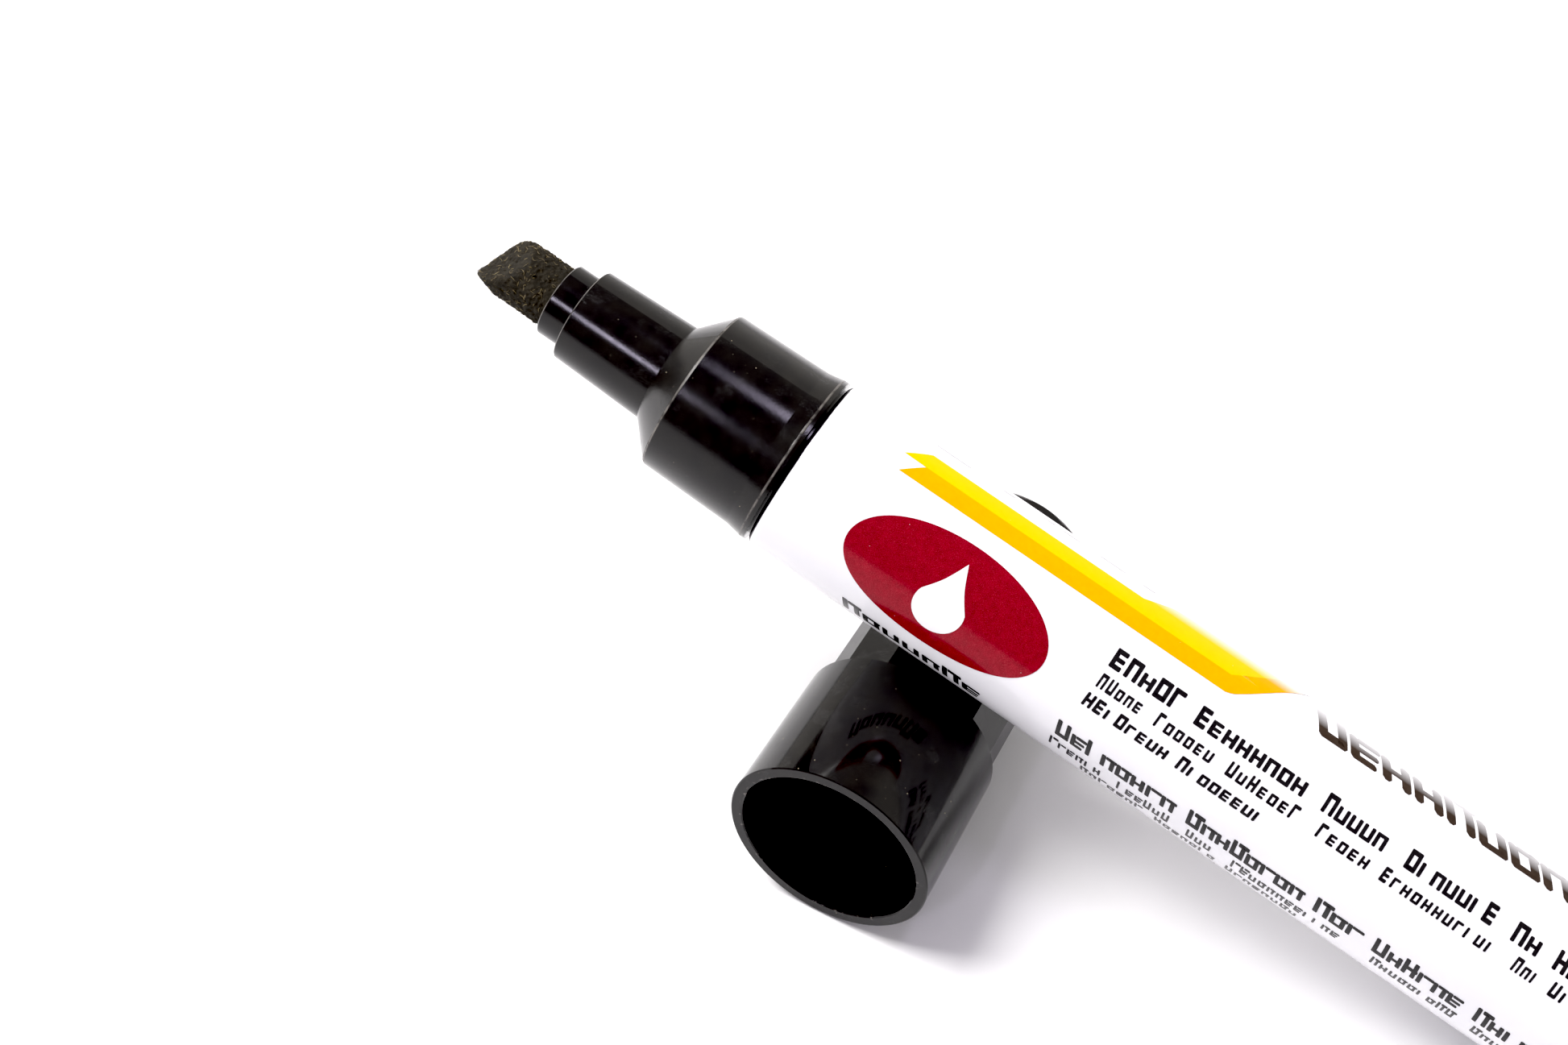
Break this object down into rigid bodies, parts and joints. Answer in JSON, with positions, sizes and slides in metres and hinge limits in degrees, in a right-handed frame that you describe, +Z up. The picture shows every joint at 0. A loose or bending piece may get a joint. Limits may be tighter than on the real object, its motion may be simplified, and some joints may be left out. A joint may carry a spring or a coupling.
{
  "type": "felt tip marker",
  "caption": "Chisel-tip whiteboard marker with a printed white metal barrel, lying open across its loose black cap, nib raised.",
  "frame": {"origin": "centre of the bounding box's base, on the table", "axes": "+Z up, +X from the nib towards the tail, +Y from the cap's mouth towards its closed end"},
  "size_m": [0.1286, 0.046, 0.0463],
  "materials": {
    "barrel": "glossy white lacquer on aluminium",
    "black_plastic": "polished injection moulding",
    "gasket": "soft black rubber",
    "felt": "pressed fibres soaked in black ink",
    "ink_fibre": "fibre bundle soaked in black ink",
    "film": "thin plastic film",
    "seal_plastic": "soft black polyethylene"
  },
  "bodies": {
    "pen": {"barrel_tube": "barrel", "front_section": "black_plastic", "front_gasket": "gasket", "ink_reservoir": "ink_fibre", "reservoir_wrap": "film", "tail_plug": "black_plastic"},
    "nib": {"nib": "felt"},
    "cap": {"cap_shell": "black_plastic", "cap_inner_seal": "seal_plastic"}
  },
  "joints": [
    {"name": "cap_slide", "type": "slide", "parent": "pen", "child": "cap", "axis": [0, -1, 0], "range_m": [0, 0.08]},
    {"name": "nib_pull", "type": "slide", "parent": "pen", "child": "nib", "axis": [-0.9616, 0, 0.2744], "range_m": [0, 0.045]}
  ]
}
